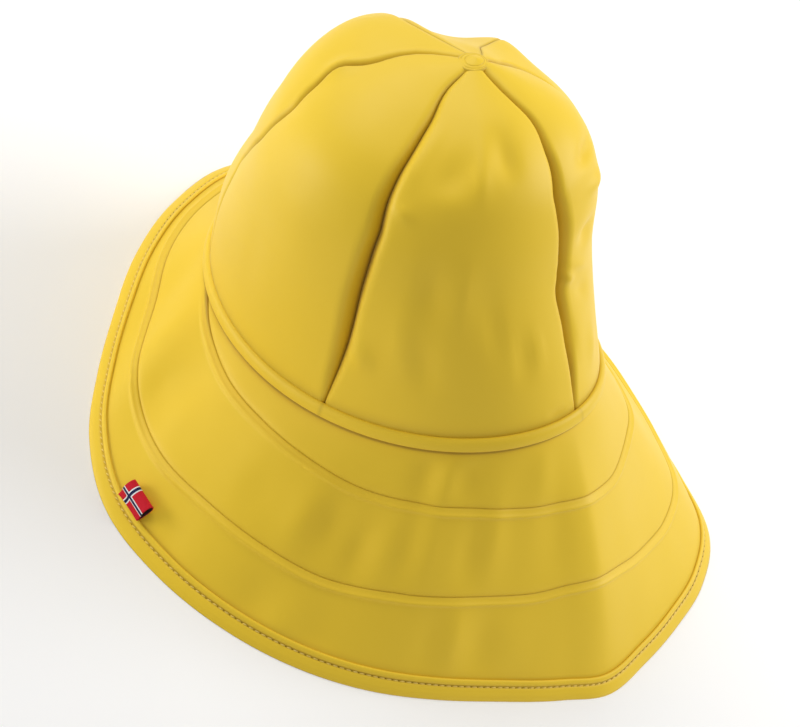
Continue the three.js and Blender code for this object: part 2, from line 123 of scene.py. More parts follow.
# Furrows at the seams: depth at five stations up the rise, then for the lower-angle and the higher-angle
# side the width, how roundly the cloth rolls in, and how dark the painted shade in the crease is
STATIONS = (0.0, 0.3, 0.6, 0.85, 1.0)
SEAMS = {
    "columns": (
        "d0", "d1", "d2", "d3", "d4", "before", "after", "roll_before", "roll_after", "shade_before",
        "shade_after",
    ),
    "rows": (
        (0.1, 0.8, 1.0, 0.4, 0.1, 0.6, 0.5, 0.5, 1.0, 1.0, 0.2),
        (0.1, 0.8, 0.8, 0.35, 0, 0.6, 0.6, 0.3, 0.6, 0.6, 0.3),
        (0.1, 0.35, 0.5, 0.5, 0.2, 0.15, 0.55, 1.0, 0.7, 0.1, 1.0),
        (0.1, 0.3, 0.3, 0.3, 0, 1.0, 1.0, 0.5, 0.5, 0.4, 0.4),
        (0.1, 0.3, 0.3, 0.0, 0, 1.0, 1.0, 0.5, 0.5, 0.4, 0.4),
        (0.1, 0.4, 0.5, 0.6, 0.1, 0.3, 0.8, 1.0, 0.4, 1.0, 1.0),
    ),
}
# A furrow's least width is that of this depth; its painted shade is full at this gain and from this
# depth on
FURROW_LEAST = 0.04
CREASE_GAIN, CREASE_DEPTH = 1.4, 0.45
# Painted shade as a dark line along a seam's groove: half-width in mm, strength, and where up the rise
# it ends and over how much
SEAM_LINE, LINE_SHADE, LINE_END, LINE_FADES = 0.8, 0.6, 0.99, 0.02
# Painted shade where the crown meets its band: strength, where it starts up the rise, and mm that it
# fades over
FOOT_SHADE, FOOT_FROM, FOOT_FADES = 0.5, 0.01, 2.2
# Puffed middles of the panels at the same stations
PUFFS = {
    "columns": ("p0", "p1", "p2", "p3", "p4"),
    "rows": (
        (0, 0.2, 0.0, 0.2, 0), (0, 0.2, 0.3, 0.4, 0), (0, 0.2, -0.2, 0.0, 0), (0, 0.4, 0.4, -0.5, 0),
        (0, 0.3, 0.4, 0.05, 0), (0, 0.0, 0.2, 0.4, 0),
    ),
}
# Folds and dents: middle, half-length up the crown and half-width, slant, and height outwards
FOLDS = {
    "columns": ("angle", "along", "long", "wide", "slant", "out"),
    "rows": (
        (195, 0.86, 1.2, 1.6, 0, 0.4),
        (258, 0.8, 0.55, 0.7, 0, 0.45),
        (18, 0.25, 0.6, 0.2, 0, -0.12),
        (12, 0.26, 0.5, 0.08, 2, 0.07),
        (355, 0.41, 0.14, 0.3, 20, 0.2),
        (347, 0.42, 0.12, 0.6, 25, 0.12),
        (345, 0.34, 0.2, 0.4, 25, -0.12),
        (356, 0.24, 0.5, 0.22, 0, -0.2),
        (47, 0.82, 0.4, 0.45, 0, -0.26),
        (63, 0.84, 0.55, 0.18, 0, 0.12),
        (24, 0.86, 0.4, 0.28, -20, -0.2),
        (35, 0.82, 0.5, 0.18, -10, 0.13),
        (47, 0.45, 0.9, 0.3, 0, -0.18),
        (37, 0.45, 0.9, 0.25, 5, 0.12),
        (56, 0.3, 0.8, 0.22, 4, 0.1),
        (49, 0.24, 0.7, 0.25, 0, -0.14),
        (27, 0.35, 0.9, 0.25, -5, -0.1),
        (68, 0.22, 0.4, 0.2, 0, 0.22),
        (61, 0.69, 0.3, 0.2, -25, 0.16),
        (6, 0.03, 0.12, 0.12, 0, -0.16),
        (134, 0.875, 0.25, 0.3, 0, 0.28),
        (129, 0.73, 0.5, 0.35, 0, -0.12),
        (95, 0.5, 1.1, 0.6, 0, 0.05),
        (110, 0.3, 1.0, 0.35, 0, -0.05),
        (341, 0.5, 0.3, 0.45, 0, -0.3),
        (334, 0.64, 0.3, 0.5, 0, 0.25),
        (333, 0.76, 0.25, 0.5, 0, -0.3),
        (341, 0.16, 0.5, 0.3, 10, 0.1),
    ),
}
# Soft waves of the brim's cloth: middle and half-width round it, middle and half-length down it, and
# height outwards
WAVES = {
    "columns": ("angle", "wide", "share", "long", "out_mm"),
    "rows": (
        (64, 4, 0.42, 0.12, -2.2), (71, 4, 0.43, 0.14, 1.8), (56, 3.5, 0.48, 0.12, -2.0),
        (50, 4, 0.42, 0.12, 1.2), (93, 4, 0.83, 0.1, -0.9), (72, 4, 0.82, 0.12, -1.2),
        (65, 4, 0.86, 0.14, 1.1), (58, 3.5, 0.85, 0.12, -1.0), (46, 4, 0.12, 0.1, -1.7),
        (41, 3, 0.12, 0.1, 1.5), (34, 4, 0.12, 0.1, -1.7), (12, 4, 0.13, 0.1, 0.8),
        (46, 3, 0.4, 0.14, -1.0), (41, 3, 0.4, 0.16, 1.2), (31, 3.5, 0.4, 0.16, -1.6),
        (25, 3, 0.34, 0.16, 0.9), (9, 4, 0.36, 0.18, -0.9), (36, 3, 0.76, 0.14, -1.1),
        (31, 2.5, 0.74, 0.14, 1.0), (25, 3, 0.78, 0.14, -0.9), (18, 4, 0.75, 0.14, 0.6),
        (82, 4, 0.4, 0.12, -0.8), (108, 4, 0.45, 0.14, 0.8), (118, 4, 0.5, 0.14, -0.9),
        (-66, 18, 0.77, 0.2, 4.5),
    ),
}
# Shares of the crown's rise: the highest point and the step that normals are taken with, where they begin
# to turn upright and over how much, where the folds end and over how much, and where rolled edges flatten
NORMAL_TOP, NORMAL_STEP = 0.97, 0.01
FLAT_FROM, FLAT_OVER = 0.9, 0.1
FOLDS_END, FOLDS_FADE = 0.975, 0.08
ROLL_FADES = 0.08
# Shares of the brim's run: where the cloth ends inside the binding, the fade of the waves at both ends, and
# the stretch over which the cloth is let in, by the binding's leaf and a gap in mm
BRIM_END, WAVE_FADES, LET_IN_OVER = 0.93, 0.06, 0.5
LET_IN_GAP = 0.3


def column(table, name):
    at = table["columns"].index(name)
    return np.array([row[at] for row in table["rows"]], float)


def through(xs, ys, x):
    """Smooth curve through rows of a table."""
    xs, ys, x = np.asarray(xs, float), np.asarray(ys, float), np.asarray(x, float)
    last = len(xs) - 1
    before, after = np.maximum(np.arange(last + 1) - 1, 0), np.minimum(np.arange(last + 1) + 1, last)
    slope = (ys[after] - ys[before]) / (xs[after] - xs[before])
    k = np.clip(np.searchsorted(xs, x, side="left") - 1, 0, last - 1)
    h = xs[k + 1] - xs[k]
    u = (x - xs[k]) / h
    rise = (2 * u**3 - 3 * u**2 + 1) * ys[k] + (3 * u**2 - 2 * u**3) * ys[k + 1]
    return rise + (u**3 - 2 * u**2 + u) * h * slope[k] + (u**3 - u**2) * h * slope[k + 1]


def around(table, name, angle):
    """The same round a full turn."""
    xs, ys = column(table, "angle"), column(table, name)
    turned = (np.asarray(angle, float) - xs[0]) % 360 + xs[0]
    xs = np.concatenate([[xs[-1] - 360], xs, xs[:2] + 360])
    return through(xs, np.concatenate([[ys[-1]], ys, ys[:2]]), turned)


def outline(table, points):
    """Smooth section through the rows of a table of two columns."""
    at, steps = np.linspace(0, 1, len(table["rows"])), np.linspace(0, 1, points)
    return [through(at, column(table, name), steps) for name in table["columns"]]


def walk(points):
    """Way along a line of points, measured from its first one."""
    return np.concatenate([[0], np.cumsum(np.linalg.norm(np.diff(points, axis=0), axis=1))])


def unit(vectors):
    return vectors / (np.linalg.norm(vectors, axis=-1, keepdims=True) + 1e-12)


def bell(x):
    return np.exp(-(x**2))


def ramp(x):
    """From 0 to 1, and flat beyond."""
    return np.clip(x, 0, 1)


def turn_from(middle, angle):
    """Signed turn from a middle angle, in degrees."""
    return (angle - middle + 180) % 360 - 180


class Form:
    """The hat's surface in millimetres, from its named sizes and tables."""

    def __init__(self, sizes):
        self.length = sizes.opening_length * MM
        self.width = sizes.opening_width * MM
        self.height = sizes.opening_height * MM
        self.side = sizes.opening_side * MM
        self.forward = sizes.opening_forward * MM
        self.tilt = sizes.opening_tilt
        self.curl = sizes.opening_curl * MM
        self.crown = sizes.crown_height * MM
        self.reach = sizes.brim_reach * MM
        self.off = np.array([sizes.edge_side, sizes.edge_back]) * MM
        self.band = sizes.band_height * MM
        self.binding = sizes.binding_width * MM
        self.leaf = sizes.binding_leaf * MM
        self.ripple_height, self.furrow_depth, self.furrow_width = 3, 10, 10
        self.puff_height, self.fold_height, self.fold_size = 10, 10, 20
        self.tuck, self.tuck_fades = 0.4, 2.5
        self.back_axis = np.array([0, math.cos(self.tilt), math.sin(self.tilt)])
        self.up_axis = np.array([0, -math.sin(self.tilt), math.cos(self.tilt)])
        self.centre = np.array([self.side, -self.forward, self.height])

    def in_opening(self, side, back, up):
        side, back, up = np.broadcast_arrays(side, back, up)
        places = self.centre + back[..., None] * self.back_axis + up[..., None] * self.up_axis
        places[..., 0] += side
        return places

    def curled(self, angle):
        return self.curl * np.cos(2 * np.radians(angle))

    def opening(self, angle, out=0.0, up=0.0):
        a = np.radians(angle)
        side = (self.width / 2 + out) * np.sin(a)
        back = (self.length / 2 + out) * np.cos(a)
        return self.in_opening(side, back, self.curled(angle) + up)

    def edge(self, angle):
        a = np.radians(angle)
        reach = self.reach * around(EDGE, "reach", angle)
        return np.stack([reach * np.sin(a) - self.off[0], reach * np.cos(a) - self.off[1], 0 * reach], -1)

    def brim_normal(self, angle):
        along = self.edge(angle) - self.opening(angle)
        return unit(np.cross(self.edge(angle + 1.0) - self.edge(angle - 1.0), along))

    def brim_run(self, angle):
        return np.linalg.norm(self.edge(angle) - self.opening(angle), axis=-1)

    def ripple(self, angle, share):
        total = 0 * (angle + share)
        for middle, spread, height, sharp in RIPPLES["rows"]:
            x = turn_from(middle, angle) / spread
            total = total + height * (np.exp(CREASE - np.hypot(x, CREASE)) if sharp else bell(x))
        ends = 1 - self.binding / self.brim_run(angle)
        return self.ripple_height * total * np.sin(np.pi * ramp(share / ends))

    def waves(self, angle, share):
        total = 0 * (angle + share)
        for middle, wide, down, long, out in WAVES["rows"]:
            total = total + out * bell(turn_from(middle, angle) / wide) * bell((share - down) / long)
        return total * ramp(share / WAVE_FADES) * ramp((BRIM_END - share) / WAVE_FADES)

    def brim(self, angle, share, out=0.0):
        angle, share = np.broadcast_arrays(np.asarray(angle, float), np.asarray(share, float))
        line = self.opening(angle) * (1 - share)[..., None] + self.edge(angle) * share[..., None]
        let_in = (self.leaf + LET_IN_GAP) * ramp(share / LET_IN_OVER)
        lift = self.ripple(angle, share) + self.waves(angle, share) - let_in + out
        return line + self.brim_normal(angle) * lift[..., None]

    def section(self, along):
        at = column(SECTIONS, "along")
        value = {name: through(at, column(SECTIONS, name), along) for name in SECTIONS["columns"][1:]}
        return (
            value["up"] * self.crown, value["side"] * self.crown, value["back"] * self.crown,
            value["width"] * self.width / 2, value["length"] * self.length / 2,
        )

    def smooth_crown(self, angle, along):
        up, side, back, wide, long = self.section(along)
        a = np.radians(angle)
        return self.in_opening(
            side + wide * np.sin(a), back + long * np.cos(a), up + self.curled(angle) * (1 - along)
        )

    def crown_normal(self, angle, along):
        at = np.minimum(along, NORMAL_TOP)
        up = self.smooth_crown(angle, at + NORMAL_STEP) - self.smooth_crown(angle, at - NORMAL_STEP)
        sideways = self.smooth_crown(angle + 1, at) - self.smooth_crown(angle - 1, at)
        steep = -unit(np.cross(sideways, up))
        flat = ramp((along - FLAT_FROM) / FLAT_OVER)[..., None]
        return unit(steep * (1 - flat) + self.up_axis * flat)

    def seam_angle(self, seam, along):
        up, angle = zip(*SEAM_PATHS[seam % 6])
        blurred = sum(np.interp(along + step, up, angle) for step in SEAM_BLUR) / len(SEAM_BLUR)
        return blurred + (360 if seam >= 6 else 0)

    def furrow(self, seam, away, along):
        """Depth of a furrow in mm, and how much painted shade its cloth gets; away is the distance past the
        seam.
        """
        row = dict(zip(SEAMS["columns"], SEAMS["rows"][seam % 6]))
        before = away < 0
        width, roll, dark = (
            np.where(before, row[f"{kind}before"], row[f"{kind}after"]) for kind in ("", "roll_", "shade_")
        )
        depth = np.maximum(through(STATIONS, [row[f"d{k}"] for k in range(5)], along), 0)
        t = ramp(np.abs(away) / (self.furrow_width * width * np.sqrt(depth + FURROW_LEAST)))
        shape = roll * (1 - np.sqrt(t * (2 - t))) + (1 - roll) * (1 + np.cos(np.pi * t)) / 2
        shade = ramp(CREASE_GAIN * shape) * ramp(depth / CREASE_DEPTH)
        return self.furrow_depth * depth * shape, dark * shade

    def folds(self, angle, along, radius):
        total = 0 * angle
        for middle, up, long, wide, slant, out in FOLDS["rows"]:
            x = np.radians(turn_from(middle, angle)) * radius / self.fold_size
            y = (along - up) * self.crown * CROWN_SLOPE / self.fold_size
            c, s = math.cos(math.radians(slant)), math.sin(math.radians(slant))
            across, lengthwise = bell((x * c + y * s) / wide), bell((y * c - x * s) / long)
            total = total + self.fold_height * out * across * lengthwise
        return total * ramp((FOLDS_END - along) / FOLDS_FADE)

    def panel_span(self, panel, along):
        _, _, _, wide, long = self.section(along)
        radius = np.maximum((wide + long) / 2, 1e-3)
        turn = self.seam_angle(panel + 1, along) - self.seam_angle(panel, along)
        return radius, np.radians(turn) * radius

    def panel(self, panel, x, along, drop):
        """Panel between two seams; x is the distance from the lower-angle seam, and all of it is above
        that seam and below the next one, also where x is 0 or the whole span."""
        radius, span = self.panel_span(panel, along)
        angle = self.seam_angle(panel, along) + np.degrees(x / radius)
        puff = self.puff_height * through(STATIONS, PUFFS["rows"][panel], along)
        lift = puff * np.sin(np.pi * ramp(x / span))
        low, low_shade = self.furrow(panel, np.maximum(x, 0) + 0 * along, along)
        high, high_shade = self.furrow(panel + 1, np.minimum(x - span, -1e-6), along)
        lift = lift - low - high
        lift = lift + self.folds(angle, along, radius) - drop * ramp((1 - along) / ROLL_FADES)
        lift = lift - self.tuck * np.exp(-np.maximum(along, 0) * self.crown * CROWN_SLOPE / self.tuck_fades)
        places = self.smooth_crown(angle, along) + self.crown_normal(angle, along) * lift[..., None]
        # Painted shade: a dark line along both seams, and darkening at the foot where the crown meets its
        # band
        line = bell(x / SEAM_LINE) + bell((span - x) / SEAM_LINE)
        line = LINE_SHADE * line * ramp((LINE_END - along) / LINE_FADES)
        above = np.maximum(along - FOOT_FROM, 0) * self.crown * CROWN_SLOPE
        foot = FOOT_SHADE * np.exp(-above / FOOT_FADES)
        return places, ramp(np.maximum(np.maximum(np.maximum(low_shade, high_shade), line), foot))


# Making pieces

# Points of a closed piece that lie closer than this many metres are merged
MERGE = 2e-6


def grid_piece(name, places, uv=None, shade=None, closed=False, flip=False):
    """A sheet whose points are given in columns and rows, from bmesh's own grid."""
    columns, rows = places.shape[:2]
    bm = bmesh.new()
    bmesh.ops.create_grid(bm, x_segments=columns - 1, y_segments=rows - 1, size=1)
    # Each point carries its painted shade, which turns the cloth's colour brown in the material
    shade_layer = bm.verts.layers.float.new("shade")
    at = {}
    for vert in bm.verts:
        at[vert] = (round((vert.co.x + 1) / 2 * (columns - 1)), round((vert.co.y + 1) / 2 * (rows - 1)))
    if uv is not None:
        layer = bm.loops.layers.uv.new("cloth")
        for face in bm.faces:
            for loop in face.loops:
                loop[layer].uv = uv[at[loop.vert]]
    for vert, (i, j) in at.items():
        vert.co = Vector(places[i, j]) / MM
        if shade is not None:
            vert[shade_layer] = shade[i, j]
    if flip:
        bmesh.ops.reverse_faces(bm, faces=bm.faces)
    if closed:
        bmesh.ops.remove_doubles(bm, verts=bm.verts, dist=MERGE)
    return finished(name, bm)


def finished(name, bm):
    for face in bm.faces:
        face.smooth = True
    mesh = bpy.data.meshes.new(name)
    bm.to_mesh(mesh)
    bm.free()
    piece = bpy.data.objects.new(name, mesh)
    bpy.context.collection.objects.link(piece)
    return piece


def thicken(piece, metres):
    wall = piece.modifiers.new("wall", "SOLIDIFY")
    wall.thickness = metres
    wall.offset = -1


def dress(piece, material, slot, *nodes):
    piece.data.materials.append(material)
    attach(piece, "root")
    if nodes:
        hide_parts(*nodes)


def hat_form():
    return Form(bpy.context.scene.hat_sizes)


# Shader maths


class Wire:
    """A shader socket that takes arithmetic."""

    def __init__(self, tree, socket):
        self.tree, self.socket = tree, socket

    def maths(self, operation, first, second=0.0):
        node = add_node(self.tree, "ShaderNodeMath", {"operation": operation})
        feed(self.tree, node.inputs[0], first)
        feed(self.tree, node.inputs[1], second)
        return Wire(self.tree, node.outputs[0])

    def __add__(self, other):
        return self.maths("ADD", self, other)

    def __radd__(self, other):
        return self.maths("ADD", other, self)

    def __sub__(self, other):
        return self.maths("SUBTRACT", self, other)

    def __rsub__(self, other):
        return self.maths("SUBTRACT", other, self)

    def __mul__(self, other):
        return self.maths("MULTIPLY", self, other)

    def __rmul__(self, other):
        return self.maths("MULTIPLY", other, self)

    def __lt__(self, other):
        return self.maths("LESS_THAN", self, other)

    def __gt__(self, other):
        return self.maths("GREATER_THAN", self, other)

    def __abs__(self):
        return self.maths("ABSOLUTE", self)

    def least(self, other):
        return self.maths("MINIMUM", self, other)

    def wave(self):
        return self.maths("SINE", self)


def feed(tree, socket, value):
    if isinstance(value, Wire):
        tree.links.new(value.socket, socket)
    elif value is not None:
        socket.default_value = value


def add_node(tree, kind, settings=None, sockets=None):
    """A node with its settings made first, and values or links for its sockets by name."""
    node = tree.nodes.new(kind)
    for name, value in (settings or {}).items():
        setattr(node, name, value)
    for name, value in (sockets or {}).items():
        wanted = name.replace("_", " ").lower()
        for socket in node.inputs:
            if socket.enabled and socket.name.lower() == wanted:
                feed(tree, socket, value)
                break
        else:
            raise KeyError(f"{kind} has no socket {wanted}")
    return node


class Finish:
    """A material under construction: its tree, its shader, and the coordinates of the piece."""

    def __init__(self, name, **constants):
        self.material = bpy.data.materials.new(name)
        self.material.use_nodes = True
        self.tree = self.material.node_tree
        self.shader = self.tree.nodes["Principled BSDF"]
        for key, value in constants.items():
            self.shader.inputs[key.replace("_", " ")].default_value = value
        coordinates = add_node(self.tree, "ShaderNodeTexCoord")
        self.place = Wire(self.tree, coordinates.outputs["Object"])
        self.uv = Wire(self.tree, coordinates.outputs["UV"])

    def node(self, kind, output=0, settings=None, **sockets):
        return Wire(self.tree, add_node(self.tree, kind, settings, sockets).outputs[output])

    def parts(self, vector):
        made = add_node(self.tree, "ShaderNodeSeparateXYZ", sockets={"Vector": vector})
        return [Wire(self.tree, output) for output in made.outputs]

    def noise(self, scale, detail=2.0):
        return self.node("ShaderNodeTexNoise", Vector=self.place, Scale=scale, Detail=detail, Roughness=0.5)

    def blend(self, factor, first, second):
        """Mix of two colours; the colour result is the node's third output."""
        return self.node("ShaderNodeMix", 2, {"data_type": "RGBA"}, Factor=factor, A=first, B=second)

    def bump(self, height, strength, distance):
        return self.node("ShaderNodeBump", Height=height, Strength=strength, Distance=distance)

    def set(self, **wires):
        for key, value in wires.items():
            feed(self.tree, self.shader.inputs[key.replace("_", " ")], value)
        return self.material


def rgba(colour, gain=1.0):
    return (*[min(channel * gain, 1.0) for channel in colour], 1.0)


# Cloth: how dark and light its clouds are, how much its roughness varies either way, the heights of its
# soft unevenness and its knit, the brown of the painted shade in its creases, seams and grooves, and how far
# the cloth turns to it
CLOUD_DARK, CLOUD_LIGHT = 0.94, 1.05
ROUGHNESS_SPREAD = 0.04
SOFT_HEIGHT, KNIT_HEIGHT = 0.6, 0.06
PAINTED_SHADE_BROWN, PAINTED_SHADE_TURN = (0.3, 0.17, 0.004), 0.75


def coated_cloth(name, colour, roughness):
    """Smooth coated knit: faint cloudy colour, a soft sheen, the knit just showing through, and painted
    shade.
    """
    finish = Finish(name, Specular_IOR_Level=0.45, Sheen_Weight=0.1, Sheen_Roughness=0.45)
    cloud, gloss = finish.noise(9.0, detail=3.0), finish.noise(60.0)
    soft, knit = finish.noise(38.0), finish.noise(900.0)
    even = finish.blend(cloud, rgba(colour, CLOUD_DARK), rgba(colour, CLOUD_LIGHT))
    # The node's third output is the attribute as a number: the painted shade that each piece carries
    shade = finish.node("ShaderNodeAttribute", 2, {"attribute_name": "shade"})
    height = soft * SOFT_HEIGHT + knit * KNIT_HEIGHT
    return finish.set(
        Base_Color=finish.blend(shade * PAINTED_SHADE_TURN, even, rgba(PAINTED_SHADE_BROWN)),
        Roughness=roughness - ROUGHNESS_SPREAD + 2 * ROUGHNESS_SPREAD * gloss,
        Normal=finish.bump(height, strength=0.25, distance=0.0012),
    )


def cloth():
    made = bpy.data.materials.get("yellow_coating")
    if made is None:
        colours = bpy.context.scene.hat_colours
        made = coated_cloth("yellow_coating", colours.cloth, colours.cloth_roughness)
    return made


# Sizes, colours and studio


class HatSizes(bpy.types.PropertyGroup):
    opening_length: bpy.props.FloatProperty(
        name="Head opening length", description="Front to back across the head opening", default=0.222,
        unit="LENGTH", precision=4)
    opening_width: bpy.props.FloatProperty(
        name="Head opening width", description="Side to side across the head opening", default=0.165,
        unit="LENGTH", precision=4)
    opening_height: bpy.props.FloatProperty(
        name="Head opening height", description="Middle of the head opening above the floor",
        default=0.0666, unit="LENGTH", precision=4)
    opening_side: bpy.props.FloatProperty(
        name="Head opening offset", description="Middle of the opening from the brim's middle, sideways",
        default=-0.0115, unit="LENGTH", precision=4)
    opening_forward: bpy.props.FloatProperty(
        name="Head opening forward", description="Middle of the opening ahead of the brim's middle",
        default=0.03, unit="LENGTH", precision=4)
    opening_tilt: bpy.props.FloatProperty(
        name="Head opening tilt", description="How far the opening rises towards the back",
        default=math.radians(17.9), unit="ROTATION")
    opening_curl: bpy.props.FloatProperty(
        name="Head opening curl", description="How far the opening's front and back rise above its sides",
        default=0.0051, unit="LENGTH", precision=4)
    crown_height: bpy.props.FloatProperty(
        name="Crown height", description="From the head opening's plane to the top", default=0.15,
        unit="LENGTH", precision=4)
    brim_reach: bpy.props.FloatProperty(
        name="Brim reach", description="Length that the edge table's shares are taken of", default=0.18,
        unit="LENGTH", precision=4)
    edge_side: bpy.props.FloatProperty(
        name="Edge offset sideways", description="Centres the edge over the origin", default=0.0015,
        unit="LENGTH", precision=4)
    edge_back: bpy.props.FloatProperty(
        name="Edge offset backwards", description="Centres the edge over the origin", default=0.0022,
        unit="LENGTH", precision=4)
    cloth_thickness: bpy.props.FloatProperty(
        name="Cloth thickness", description="Coated cloth, one layer with its seam backing", default=0.0011,
        unit="LENGTH", precision=4)
    band_height: bpy.props.FloatProperty(
        name="Band height", description="Rolled band at the foot of the crown", default=0.0065,
        unit="LENGTH", precision=4)
    binding_width: bpy.props.FloatProperty(
        name="Binding width", description="Folded strip, from its upper edge to the fold", default=0.0115,
        unit="LENGTH", precision=4)
    binding_leaf: bpy.props.FloatProperty(
        name="Binding thickness", description="One leaf of the folded strip", default=0.0008, unit="LENGTH",
        precision=4)
    stitch_pitch: bpy.props.FloatProperty(
        name="Stitch pitch", description="From one stitch of the binding to the next", default=0.0035,
        unit="LENGTH", precision=4)
    stitch_line: bpy.props.FloatProperty(
        name="Stitch line", description="Row of stitches below the binding's upper edge", default=0.0037,
        unit="LENGTH", precision=4)
    label_length: bpy.props.FloatProperty(
        name="Label length", description="Woven label along the binding", default=0.0168, unit="LENGTH",
        precision=4)
    label_reach: bpy.props.FloatProperty(
        name="Label reach", description="How far the label stands out of the binding", default=0.0088,
        unit="LENGTH", precision=4)
    label_angle: bpy.props.FloatProperty(
        name="Label place", description="Round the brim, from the back towards the wearer's left",
        default=math.radians(102), unit="ROTATION")


class HatColours(bpy.types.PropertyGroup):
    cloth: bpy.props.FloatVectorProperty(
        name="Coated cloth", description="Yellow of the coating", subtype="COLOR", size=3,
        default=(0.825, 0.555, 0.016), min=0, max=1)
    cloth_roughness: bpy.props.FloatProperty(
        name="Cloth roughness", description="Lower is shinier", default=0.53, min=0, max=1,
        subtype="FACTOR")
    thread: bpy.props.FloatVectorProperty(
        name="Thread", description="Stitching of the binding", subtype="COLOR", size=3,
        default=(0.86, 0.62, 0.12), min=0, max=1)
    label_ground: bpy.props.FloatVectorProperty(
        name="Label ground", description="Woven label's field", subtype="COLOR", size=3,
        default=(0.7, 0.011, 0.028), min=0, max=1)
    label_edge: bpy.props.FloatVectorProperty(
        name="Label cross edge", description="Light edge of the label's cross", subtype="COLOR", size=3,
        default=(0.92, 0.92, 0.92), min=0, max=1)
    label_cross: bpy.props.FloatVectorProperty(
        name="Label cross", description="Dark middle of the label's cross", subtype="COLOR", size=3,
        default=(0.01, 0.02, 0.09), min=0, max=1)
    floor: bpy.props.FloatVectorProperty(
        name="Floor", description="Studio floor", subtype="COLOR", size=3, default=(0.97, 0.97, 0.97),
        min=0, max=1)


class HatStudio(bpy.types.PropertyGroup):
    azimuth: bpy.props.FloatProperty(
        name="Camera azimuth", description="Round the hat, from its front", default=math.radians(110.66),
        unit="ROTATION")
    elevation: bpy.props.FloatProperty(
        name="Camera elevation", description="Above the floor", default=math.radians(49.55),
        unit="ROTATION")
    roll: bpy.props.FloatProperty(
        name="Camera roll", description="Turn about the line of sight", default=math.radians(-32.1),
        unit="ROTATION")
    distance: bpy.props.FloatProperty(
        name="Camera distance", description="From the camera to the point it looks at", default=1.3,
        unit="LENGTH")
    target: bpy.props.FloatVectorProperty(
        name="Camera target", description="Point the camera looks at", subtype="XYZ", size=3, unit="LENGTH",
        default=(0.0234, -0.0038, 0.084))
    focal: bpy.props.FloatProperty(
        name="Focal length", description="For a sensor 36 mm wide, in millimetres", default=121.0)
    key: bpy.props.FloatProperty(name="Left light", description="Watts", default=9.8, min=0)
    fill: bpy.props.FloatProperty(name="Right light", description="Watts", default=8.4, min=0)
    top: bpy.props.FloatProperty(name="Top light", description="Watts", default=5.0, min=0)
    sky: bpy.props.FloatProperty(name="Surround", description="Strength of the white surround", default=0.5)


# Pieces

# Rolled edge of a crown panel: distance in from the seam and drop below the surface, in mm
ROLLED_EDGE = ((0.0, 2.4), (0.0, 1.1), (0.08, 0.68), (0.32, 0.32), (0.68, 0.08), (1.1, 0.0))
# Points across a panel: more by each edge, in mm, and how many in the middle, whose least width is in mm;
# then the rows up it, and the shares of the rise that they start and end at
PANEL_STEPS = (1.8, 2.8, 4.2, 6.0, 8.5)
PANEL_MIDDLE, PANEL_LEAST = 28, 4
PANEL_ROWS, PANEL_FOOT, PANEL_TOP = 104, -0.035, 0.99
# Steps round the brim, the band and the binding
ROUND = 420
# Button: its radius as a share of the crown's rise, the points of its section and the steps round it, its
# section, and the painted shade in dark lines at its edge and in its pressed ring
BUTTON_SHARE, BUTTON_POINTS, BUTTON_ROUND = 0.0215, 53, 72
BUTTON = {
    "columns": ("radius", "height_mm"),
    "rows": (
        (0.0, -2.0), (0.9, -2.2), (1.02, -1.6), (1.07, -0.6), (1.06, 0.1), (1.02, 0.38), (0.96, 0.42),
        (0.9, 0.2), (0.84, 0.42), (0.74, 0.44), (0.68, 0.22), (0.62, 0.44), (0.3, 0.5), (0.0, 0.5),
    ),
}
BUTTON_SHADE_LINES = {
    "columns": ("radius", "wide", "dark"),
    "rows": ((1.04, 0.05, 0.6), (0.9, 0.04, 0.3), (0.68, 0.04, 0.3)),
}
# Section of the crown's rolled band, with level as a share of its height, and its points; then the angles
# of its joints, and the strength and half-width in degrees of the painted shade at them
BAND = {
    "columns": ("out_mm", "level"),
    "rows": (
        (-1.2, 0.05), (0.3, 0.0), (0.8, 0.18), (1.4, 0.22), (1.9, 0.23), (2.15, 0.34), (2.0, 0.52),
        (1.55, 0.78), (0.9, 0.98), (0.1, 1.09), (-0.8, 1.15), (-1.9, 1.08), (-2.1, 0.6), (-1.2, 0.05),
    ),
}
BAND_POINTS = 57
BAND_JOINTS, JOINT_SHADE, JOINT_WIDE = (-4, 78), 0.35, 0.5


class HAT_OT_crown_panels(bpy.types.Operator):
    """Add the six gores of the crown, furrowed where they meet"""

    bl_idname = "hat.crown_panels"
    bl_label = "Crown panels"

    def execute(self, context):
        form = hat_form()
        along = np.linspace(PANEL_FOOT, PANEL_TOP, PANEL_ROWS)[None, :]
        near = list(ROLLED_EDGE) + [(step, 0.0) for step in PANEL_STEPS]
        reach = near[-1][0]
        for panel in range(6):
            _, span = form.panel_span(panel, along)
            scale = np.minimum(1, span / (2 * reach + PANEL_LEAST))
            low = [(x * scale, drop) for x, drop in near]
            high = [(span - x * scale, drop) for x, drop in reversed(near)]
            share = np.linspace(0, 1, PANEL_MIDDLE + 2)[1:-1]
            inside = [(reach * scale + (span - 2 * reach * scale) * part, 0.0) for part in share]
            made = [form.panel(panel, x, along, drop) for x, drop in low + inside + high]
            places, shade = (np.stack([line[k][0] for line in made]) for k in (0, 1))
            piece = grid_piece(f"crown_panel_{panel + 1}_cloth", places, shade=shade, flip=True)
            thicken(piece, context.scene.hat_sizes.cloth_thickness)
            dress(piece, cloth(), "coated_cloth", f"crown_panel_{panel + 1}")
        return {"FINISHED"}


